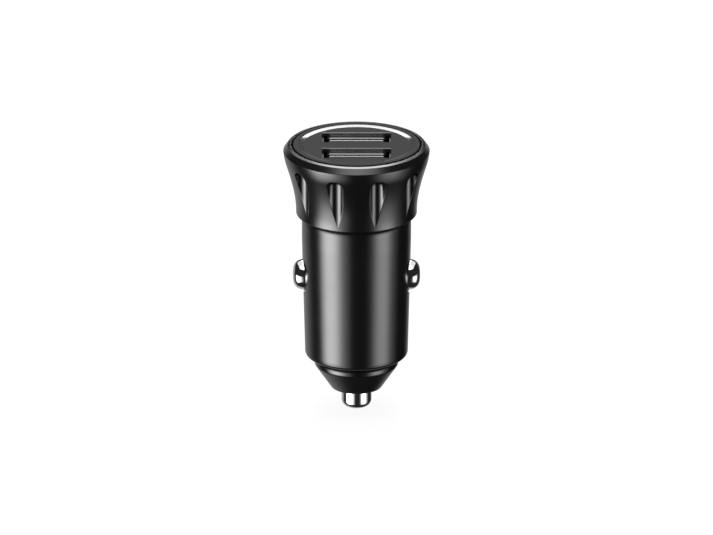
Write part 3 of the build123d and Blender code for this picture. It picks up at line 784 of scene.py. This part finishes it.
def worked_lines():
    """Fine lines left by drawing or turning metal: a noise stretched by its own scale on each axis."""
    scales = {"Across X": 2000.0, "Across Y": 2000.0, "Across Z": 2000.0}
    group, given, put = new_group("worked_lines", scales, ("Height", "Tone"))
    place = add_node(group, "ShaderNodeTexCoord").outputs["Object"]
    scale = {axis: given.outputs["Across " + axis] for axis in "XYZ"}
    scale = add_node(group, "ShaderNodeCombineXYZ", scale)
    pull = add_node(group, "ShaderNodeVectorMath", {0: place, 1: scale.outputs[0]}, operation="MULTIPLY")
    lines = add_node(group, "ShaderNodeTexNoise", {"Vector": pull.outputs[0], "Scale": 1.0, "Detail": 3.0})
    slow = add_node(group, "ShaderNodeTexNoise", {"Vector": place, "Scale": 300.0, "Detail": 3.0})
    group.links.new(lines.outputs[0], put.inputs["Height"])
    group.links.new(slow.outputs[0], put.inputs["Tone"])
    return group


GRAIN, MARKS, LINES = moulded_grain(), handling_marks(), worked_lines()


def new_finish(slot, **constants):
    """Material named for its slot, its node tree and its shader with plain values set on the shader."""
    finish = bpy.data.materials.new(slot)
    finish.use_nodes = True
    shader = finish.node_tree.nodes["Principled BSDF"]
    for key, value in constants.items():
        shader.inputs[key.replace("_", " ").title().replace("Ior", "IOR")].default_value = value
    return finish, finish.node_tree, shader


def two_toned(tree, shader, share, low, high):
    """Base colour from low to high as a share goes from 0 to 1."""
    mix = {"Factor": share, MIX_LOW: (*low, 1.0), MIX_HIGH: (*high, 1.0)}
    mix = add_node(tree, "ShaderNodeMix", mix, data_type="RGBA")
    tree.links.new(mix.outputs[MIX_RESULT], shader.inputs["Base Color"])


def tinted(tree, shader, tone, colour, swing):
    """Base colour that swings evenly about a colour with a tone from 0 to 1."""
    low, high = ([channel * share for channel in colour] for share in (1 - swing, 1 + swing))
    two_toned(tree, shader, tone, low, high)


def roughened(tree, shader, mark, low, high):
    """Roughness from low to high as a mark goes from 0 to 1."""
    span = add_node(tree, "ShaderNodeMapRange", {"Value": mark, "To Min": low, "To Max": high})
    tree.links.new(span.outputs[0], shader.inputs["Roughness"])


def bumped(tree, shader, height, depth):
    """Relief from a height of 0 to 1, with its depth in millimetres."""
    bump = {"Height": height, "Distance": depth * MM, "Strength": 1.0}
    bump = add_node(tree, "ShaderNodeBump", bump)
    tree.links.new(bump.outputs[0], shader.inputs["Normal"])


def placed_group(tree, group, **values):
    """A shared group placed in a material with its own values."""
    node = add_node(tree, "ShaderNodeGroup", node_tree=group)
    for key, value in values.items():
        node.inputs[key.replace("_", " ")].default_value = value
    return node


def moulding(slot, colour, rough, swing=0.06, grain=9000.0, depth=0.004, tone=0.12, **constants):
    """Moulded plastic: fine grain, slow change of tone and faint marks in its gloss."""
    finish, tree, shader = new_finish(slot, **constants)
    grain = placed_group(tree, GRAIN, Grain=grain)
    marks = placed_group(tree, MARKS)
    tinted(tree, shader, grain.outputs["Tone"], colour, tone)
    roughened(tree, shader, marks.outputs["Mark"], rough, rough + swing)
    bumped(tree, shader, grain.outputs["Height"], depth)
    return finish


def plating(slot, colour, rough, swing=0.05, depth=0.002, lines=(900.0, 900.0, 9000.0), tone=0.06):
    """Bright or drawn metal: fine worked lines, and marks in its gloss."""
    finish, tree, shader = new_finish(slot, metallic=1.0)
    worked = placed_group(tree, LINES, Across_X=lines[0], Across_Y=lines[1], Across_Z=lines[2])
    marks = placed_group(tree, MARKS)
    tinted(tree, shader, worked.outputs["Tone"], colour, tone)
    roughened(tree, shader, marks.outputs["Mark"], rough, rough + swing)
    bumped(tree, shader, worked.outputs["Height"], depth)
    return finish


def face_moulding():
    """Face plate: a fine matte field, and a polished skin on the dish, the lips' tips and the far edges."""
    finish = moulding("face_grey", (0.037, 0.037, 0.038), 0.8, grain=7000.0, depth=0.012, tone=0.08,
                      specular_ior_level=0.04, coat_roughness=0.09, coat_ior=1.75)
    tree = finish.node_tree
    place = add_node(tree, "ShaderNodeTexCoord").outputs["Object"]
    height = add_node(tree, "ShaderNodeSeparateXYZ", {0: place}).outputs["Z"]
    flat = add_node(tree, "ShaderNodeVectorMath", {0: place, 1: (1, 1, 0)}, operation="MULTIPLY").outputs[0]
    radius = add_node(tree, "ShaderNodeVectorMath", {0: flat}, operation="LENGTH").outputs["Value"]
    polished = []
    for reading, start, full in (
        (radius, DISH_INNER - POLISH_BLEND, DISH_INNER),
        (radius, DISH_OUTER + POLISH_BLEND, DISH_OUTER),
        (height, FACE_HEIGHT + TIP_RISE - POLISH_BLEND, FACE_HEIGHT + TIP_RISE),
        (height, FACE_HEIGHT - POLISH_BLEND / 2, FACE_HEIGHT - POLISH_BLEND),
    ):
        part = {"Value": reading, "From Min": start * MM, "From Max": full * MM}
        polished.append(add_node(tree, "ShaderNodeMapRange", part).outputs[0])
    outside_field, inside_rim, on_tip, on_far_edge = polished
    dish = reckon(tree, "MINIMUM", outside_field, inside_rim)
    edges = reckon(tree, "MAXIMUM", on_tip, on_far_edge)
    edges = reckon(tree, "MINIMUM", edges, reckon(tree, "SUBTRACT", 1.0, outside_field))
    polish = reckon(tree, "MAXIMUM", dish, edges)
    tree.links.new(polish, tree.nodes["Principled BSDF"].inputs["Coat Weight"])
    return finish


def solder_mask():
    """Circuit board: green mask over tracks, which are the crests of two waves at right angles."""
    finish, tree, shader = new_finish("circuit_board", ior=1.5)
    grain = placed_group(tree, GRAIN, Grain=6000.0, Patch=260.0)
    place = add_node(tree, "ShaderNodeTexCoord").outputs["Object"]
    tracks = []
    for axis in ("Y", "Z"):
        wave = {"Vector": place, "Scale": 180.0, "Distortion": 1.5, "Detail": 0.0}
        wave = add_node(tree, "ShaderNodeTexWave", wave, bands_direction=axis)
        tracks.append(reckon(tree, "GREATER_THAN", wave.outputs["Fac"], TRACK_LEVEL))
    track = reckon(tree, "MAXIMUM", *tracks)
    two_toned(tree, shader, track, (0.012, 0.1, 0.04), (0.03, 0.2, 0.08))
    roughened(tree, shader, grain.outputs["Tone"], 0.3, 0.45)
    bumped(tree, shader, track, 0.03)
    return finish


def winding():
    """Enamelled copper: turns of wire as a wave along the coil's axis, for relief and for a painted highlight
    on each turn with painted shade between turns.
    """
    finish, tree, shader = new_finish("copper_wire", metallic=1.0)
    place = add_node(tree, "ShaderNodeTexCoord").outputs["Object"]
    turns = {"Vector": place, "Scale": 620.0, "Distortion": 0.2}
    turns = add_node(tree, "ShaderNodeTexWave", turns, bands_direction="X", wave_profile="SIN")
    marks = placed_group(tree, MARKS)
    # Painted highlight and shade: the base colour is lighter on each turn's crest and darker in the groove
    # between turns
    tinted(tree, shader, turns.outputs["Fac"], (0.62, 0.26, 0.11), 0.25)
    roughened(tree, shader, marks.outputs["Mark"], 0.25, 0.4)
    bumped(tree, shader, turns.outputs["Fac"], 0.1)
    return finish


finishes = {
    "housing_black": moulding("housing_black", (0.0042, 0.0042, 0.0044), 0.21, swing=0.03, depth=0.001,
                              ior=1.75),
    "face_grey": face_moulding(),
    "contact_plating": plating("contact_plating", (0.82, 0.82, 0.82), 0.07, depth=0.0006),
    "spring_steel": plating("spring_steel", (0.5, 0.5, 0.5), 0.28),
    "terminal_brass": plating("terminal_brass", (0.72, 0.55, 0.26), 0.3, lines=(4000.0, 700.0, 4000.0)),
    "port_steel": plating("port_steel", (0.03, 0.03, 0.032), 0.4, lines=(6000.0, 6000.0, 900.0)),
    "port_insulator": moulding("port_insulator", (0.012, 0.012, 0.0125), 0.1, depth=0.001, ior=1.85),
    "pin_gold": plating("pin_gold", (0.83, 0.6, 0.26), 0.22, lines=(6000.0, 6000.0, 900.0)),
    "circuit_board": solder_mask(),
    "ferrite": moulding("ferrite", (0.045, 0.045, 0.047), 0.75, grain=5000.0, depth=0.02),
    "copper_wire": winding(),
    "can_sleeve": plating("can_sleeve", (0.66, 0.66, 0.68), 0.3, lines=(5000.0, 5000.0, 700.0)),
    "moulded_chip": moulding("moulded_chip", (0.02, 0.02, 0.021), 0.6, depth=0.012),
    "tinned_leg": plating("tinned_leg", (0.72, 0.72, 0.72), 0.3),
    "ceramic_white": moulding("ceramic_white", (0.7, 0.69, 0.65), 0.5, depth=0.006),
    "ceramic_tan": moulding("ceramic_tan", (0.45, 0.32, 0.19), 0.55, depth=0.006),
}

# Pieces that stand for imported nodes
finish_piece(make_piece("barrel_tube", barrel_grids()), "housing", "housing_black", "barrel")
head_parts = [(head_grid(), True, True, None)]
finish_piece(make_piece("fluted_head", head_parts), "housing", "housing_black", "head_collar")
plate_parts = plate_grids() + [(lip_grid(side * SLOT_PITCH / 2), True, False, None) for side in (-1, 1)]
finish_piece(make_piece("dished_plate", plate_parts), "housing", "face_grey", "face_plate")
nose_parts = [(turned(nose_outline()), True, True, None)]
finish_piece(make_piece("nose_cone", nose_parts), "housing", "housing_black", "nose_cap")
plunger_parts = [(turned(plunger_outline(), columns=128), True, True, None)]
finish_piece(make_piece("sprung_plunger", plunger_parts), "plunger", "contact_plating", "centre_contact")
coil = make_piece("plunger_coil", [(coil_grid(), False, True, None)])
finish_piece(coil, "housing", "spring_steel", "centre_spring")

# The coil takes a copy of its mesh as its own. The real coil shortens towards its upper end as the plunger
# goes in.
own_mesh(coil)

for side_name, side in (("left", -1), ("right", 1)):
    contact = make_piece(f"dome_contact_{side_name}", contact_grids(side))
    finish_piece(contact, f"{side_name}_contact", "contact_plating", f"side_contact_{side_name}")

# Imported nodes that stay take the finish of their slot
for subpart in frame["record"]["subparts"]:
    node = frame["nodes"][subpart["node"]]
    node.data.materials.clear()
    node.data.materials.append(finishes[subpart["material_slot"]])

# Stage


def light_patch():
    """Soft patch of light in the room: full inside a rectangle of azimuth and elevation about its middle,
    with a smooth fall to nothing over a margin outside it."""
    keys = ("Azimuth", "Elevation", "Half Width", "Half Height", "Soft Width", "Soft Height", "Brightness")
    group, given, put = new_group("light_patch", dict.fromkeys(keys, 1.0), ("Strength",))
    way = add_node(group, "ShaderNodeTexCoord").outputs["Generated"]
    part = add_node(group, "ShaderNodeSeparateXYZ", {0: way}).outputs
    azimuth = reckon(group, "ARCTAN2", part["X"], reckon(group, "MULTIPLY", part["Y"], -1.0))
    elevation = reckon(group, "ARCSINE", part["Z"])
    strength = given.outputs["Brightness"]
    for angle, middle, size in ((azimuth, "Azimuth", "Width"), (elevation, "Elevation", "Height")):
        off = reckon(group, "SUBTRACT", reckon(group, "DEGREES", angle), given.outputs[middle])
        off = reckon(group, "ABSOLUTE", reckon(group, "WRAP", off, 180.0, -180.0))
        half = given.outputs["Half " + size]
        outer = reckon(group, "ADD", half, given.outputs["Soft " + size])
        share = {"Value": off, "From Min": outer, "From Max": half}
        share = add_node(group, "ShaderNodeMapRange", share, interpolation_type="SMOOTHSTEP").outputs[0]
        strength = reckon(group, "MULTIPLY", strength, share)
    group.links.new(strength, put.inputs["Strength"])
    return group


def studio_world():
    """White all round to the camera. To the object it is a dark room with soft patches of light."""
    world = bpy.data.worlds.new("studio")
    world.use_nodes = True
    tree = world.node_tree
    background = tree.nodes["Background"]
    group = light_patch()
    room = ROOM_LIGHT
    for values in LIGHT_PATCHES:
        patch = add_node(tree, "ShaderNodeGroup", node_tree=group)
        for socket, value in zip(patch.inputs, values):
            socket.default_value = value
        room = reckon(tree, "ADD", patch.outputs[0], room)
    path = add_node(tree, "ShaderNodeLightPath")
    seen = {"Factor": path.outputs["Is Camera Ray"], MIX_FIRST: room, MIX_SECOND: 1.0}
    seen = add_node(tree, "ShaderNodeMix", seen, data_type="FLOAT")
    tree.links.new(seen.outputs[0], background.inputs["Strength"])
    background.inputs["Color"].default_value = (1, 1, 1, 1)
    bpy.context.scene.world = world


def pale_floor():
    """Pale floor under the tip: nearly white by its own glow, with what light falls on it for the shadow."""
    size = FLOOR_SIZE
    corner = np.array([(-size, -size), (size, -size), (-size, size), (size, size)], float)
    points = np.concatenate([corner, np.full((4, 1), PLUNGER_END - FIT_GAP)], -1).reshape(2, 2, 3)
    floor = make_piece("floor", [(points, False, False, None)])
    finish = bpy.data.materials.new("floor_white")
    finish.use_nodes = True
    tree = finish.node_tree
    tree.nodes.remove(tree.nodes["Principled BSDF"])
    path = add_node(tree, "ShaderNodeLightPath")
    glow = add_node(tree, "ShaderNodeEmission", {"Strength": FLOOR_GLOW})
    lit = add_node(tree, "ShaderNodeBsdfDiffuse", {"Color": (FLOOR_TONE, FLOOR_TONE, FLOOR_TONE, 1)})
    both = add_node(tree, "ShaderNodeAddShader", {0: glow.outputs[0], 1: lit.outputs[0]})
    seen = reckon(tree, "ADD", path.outputs["Is Camera Ray"], path.outputs["Is Glossy Ray"])
    seen = reckon(tree, "ADD", seen, path.outputs["Is Transmission Ray"])
    mix = add_node(tree, "ShaderNodeMixShader", {0: seen, 1: lit.outputs[0], 2: both.outputs[0]})
    under = add_node(tree, "ShaderNodeNewGeometry").outputs["Backfacing"]
    clear = add_node(tree, "ShaderNodeBsdfTransparent")
    sides = add_node(tree, "ShaderNodeMixShader", {0: under, 1: mix.outputs[0], 2: clear.outputs[0]})
    tree.links.new(sides.outputs[0], tree.nodes["Material Output"].inputs["Surface"])
    floor.data.materials.append(finish)
    floor.visible_glossy = False
    floor.visible_shadow = False


def softbox(name, azimuth, elevation, half_height, layers):
    """Lamp that faces the object from an azimuth, 0 in front and 90 to the right, and an elevation. Its edges
    are soft: it is a pile of area lamps, each given by half its width, as an angle, and its brightness."""
    turn, rise = radians(azimuth), radians(elevation)
    way = Vector((sin(turn) * cos(rise), -cos(turn) * cos(rise), sin(rise)))
    height = 2 * LAMP_DISTANCE * tan(radians(half_height)) * MM
    for half_width, brightness in layers:
        lamp = bpy.data.lights.new(name, "AREA")
        lamp.shape = "RECTANGLE"
        lamp.size, lamp.size_y = 2 * LAMP_DISTANCE * tan(radians(half_width)) * MM, height
        lamp.energy = brightness * pi * lamp.size * height
        box = bpy.data.objects.new(name, lamp)
        box.location = (Vector(VIEW_CENTRE) + way * LAMP_DISTANCE) * MM
        box.rotation_euler = way.to_track_quat("Z", "Y").to_euler()
        box.visible_camera = False
        bpy.context.scene.collection.objects.link(box)


def photo_camera():
    """Long lens at the photograph's height of view, framed by the width that the photograph shows."""
    lens = bpy.data.cameras.new("photo_camera")
    lens.lens, lens.sensor_width = LENS, SENSOR
    camera = bpy.data.objects.new("photo_camera", lens)
    rise = radians(VIEW_ELEVATION)
    back = Vector((0, -cos(rise), sin(rise)))
    distance = VIEW_WIDTH * LENS / SENSOR
    camera.location = (Vector(VIEW_CENTRE) + back * distance) * MM
    camera.rotation_euler = back.to_track_quat("Z", "Y").to_euler()
    lens.clip_start, lens.clip_end = CLIP_NEAR * MM, CLIP_FAR * MM
    bpy.context.scene.collection.objects.link(camera)
    bpy.context.scene.camera = camera


bpy.context.scene.view_settings.view_transform = "Standard"
studio_world()
pale_floor()
softbox(*OVERHEAD)
photo_camera()
